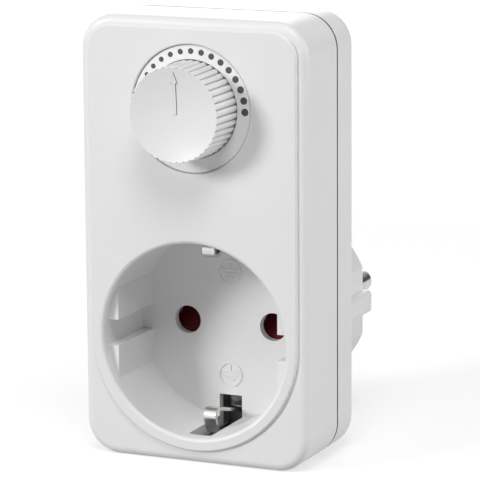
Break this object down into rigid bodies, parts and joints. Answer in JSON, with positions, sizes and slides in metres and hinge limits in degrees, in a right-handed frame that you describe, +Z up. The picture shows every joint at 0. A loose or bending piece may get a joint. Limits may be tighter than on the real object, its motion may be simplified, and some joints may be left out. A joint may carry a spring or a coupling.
{
  "type": "plug in dimmer",
  "caption": "Plug-in rotary dimmer: tall rounded housing with a fluted knob on a dotted dial, a shuttered earthed socket in front and a round two-pin plug behind.",
  "frame": {"origin": "centre of the plug's face, midway between its two pins, in the plane of the boss's end", "axes": "+Y along the pins into the wall, +Z up from the socket towards the dial, +X to the right as seen from the room"},
  "size_m": [0.0488, 0.076, 0.0896],
  "materials": {
    "white_cover": "satin moulded, white",
    "white_dial": "semi-gloss, white",
    "white_knob": "semi-gloss, white",
    "dark_ink": "flat printed",
    "zinc_steel": "zinc plated",
    "pot_phenolic": "brown laminate",
    "carbon_track": "matt carbon film",
    "tinned_brass": "tinned",
    "shaft_metal": "turned",
    "wiper_plastic": "moulded, ivory",
    "board_laminate": "laminate with solder mask",
    "iron_powder": "lacquered ring",
    "copper_wire": "enamelled copper",
    "film_case": "moulded box, yellow",
    "timing_case": "moulded box, red",
    "resistor_lacquer": "lacquer, sand",
    "diac_case": "moulded, blue",
    "triac_case": "epoxy, black",
    "sink_metal": "bare sheet",
    "fuse_glass": "clear",
    "fuse_nickel": "nickel plated",
    "pin_nickel": "nickel plated, turned",
    "contact_brass": "rolled",
    "carrier_plastic": "moulded, black",
    "shutter_plastic": "moulded, dark maroon",
    "spring_steel": "drawn wire",
    "arm_steel": "rolled strip, dull",
    "earth_nickel": "nickel plated sheet",
    "wire_brown": "sheath, brown",
    "wire_black": "sheath, black"
  },
  "bodies": {
    "housing": {"board_screws": "zinc_steel", "carrier_screws": "zinc_steel", "choke_core": "iron_powder", "choke_winding": "copper_wire", "circuit_board": "board_laminate", "contact_carrier": "carrier_plastic", "contact_sleeve_left": "contact_brass", "contact_sleeve_right": "contact_brass", "diac": "diac_case", "dial_plate": "white_dial", "earth_arm_bottom": "arm_steel", "earth_arm_top": "arm_steel", "earth_bracket": "earth_nickel", "earth_clip_bottom": "earth_nickel", "earth_clip_top": "earth_nickel", "earth_rivets": "arm_steel", "film_capacitor": "film_case", "front_cover": "white_cover", "fuse_caps": "fuse_nickel", "fuse_clips": "tinned_brass", "fuse_tube": "fuse_glass", "heat_sink": "sink_metal", "heatsink_screw": "zinc_steel", "housing_screws": "zinc_steel", "pin_left": "pin_nickel", "pin_right": "pin_nickel", "pot_base": "pot_phenolic", "pot_case": "zinc_steel", "pot_nut": "zinc_steel", "pot_terminals": "tinned_brass", "pot_track": "carbon_track", "pot_washer": "zinc_steel", "rear_cover": "white_cover", "resistor_1": "resistor_lacquer", "resistor_2": "resistor_lacquer", "scale_dots": "dark_ink", "shutter_spring": "spring_steel", "timing_capacitor": "timing_case", "triac": "triac_case", "wire_line": "wire_brown", "wire_load": "wire_black"},
    "dial_shaft": {"knob": "white_knob", "pot_shaft": "shaft_metal", "pot_wiper": "wiper_plastic"},
    "shutter": {"shutter_slider": "shutter_plastic"}
  },
  "joints": [
    {"name": "knob_turn", "type": "hinge", "parent": "housing", "child": "dial_shaft", "pos_m": [0, -0.053, 0.0467], "axis": [0, 1, 0], "range_deg": [-90, 90]},
    {"name": "shutter_slide", "type": "slide", "parent": "housing", "child": "shutter", "axis": [0, 0, -1], "range_m": [0, 0.0064], "stiffness_N_per_m": 60, "springref_m": -0.003, "deforming": ["shutter_spring"]}
  ]
}
